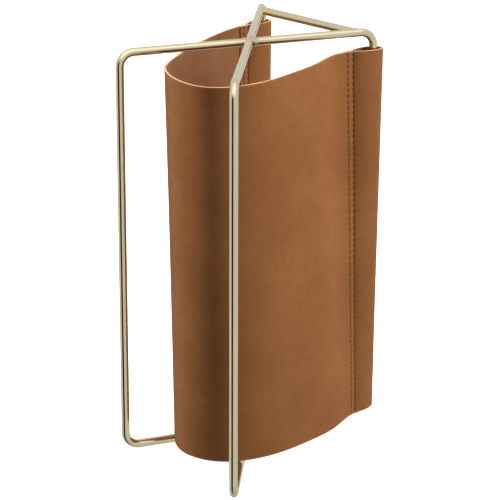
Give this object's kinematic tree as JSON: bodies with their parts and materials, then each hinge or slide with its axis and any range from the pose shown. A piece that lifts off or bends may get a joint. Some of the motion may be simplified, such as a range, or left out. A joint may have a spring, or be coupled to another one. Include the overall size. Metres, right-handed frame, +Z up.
{
  "type": "magazine rack",
  "caption": "Free-standing magazine rack: a crossed frame of bent round metal rod with a curved leather sling stitched around its posts, open at one side.",
  "frame": {"origin": "on the floor, straight under the point where the bars cross", "axes": "+Z up. The main ring stands in the YZ plane with its front post at -Y and its back post at +Y. The right hoop stands 26 degrees from +X towards +Y, the left hoop opposite it. Positions are in metres."},
  "size_m": [0.2195, 0.3087, 0.36],
  "materials": {
    "polished_rod": "polished pale champagne gold",
    "weld_metal": "polished, slightly uneven",
    "sling_leather": "smooth cognac leather, satin",
    "sewing_thread": "waxed brown thread"
  },
  "bodies": {
    "frame": {"main_ring": "polished_rod", "left_hoop": "polished_rod", "right_hoop": "polished_rod", "top_tie_bar": "polished_rod", "bottom_tie_bar": "polished_rod", "top_cross_welds": "weld_metal", "bottom_cross_welds": "weld_metal", "top_tie_bar_welds": "weld_metal", "bottom_tie_bar_welds": "weld_metal"},
    "sling": {"leather_sling": "sling_leather", "back_seam_sleeve_thread": "sewing_thread", "back_seam_flap_thread": "sewing_thread", "right_seam_sleeve_thread": "sewing_thread", "right_seam_flap_thread": "sewing_thread"}
  },
  "joints": [
    {"name": "sling_lift", "type": "slide", "parent": "frame", "child": "sling", "axis": [0, 0, 1], "range_m": [0, 0.005]}
  ]
}
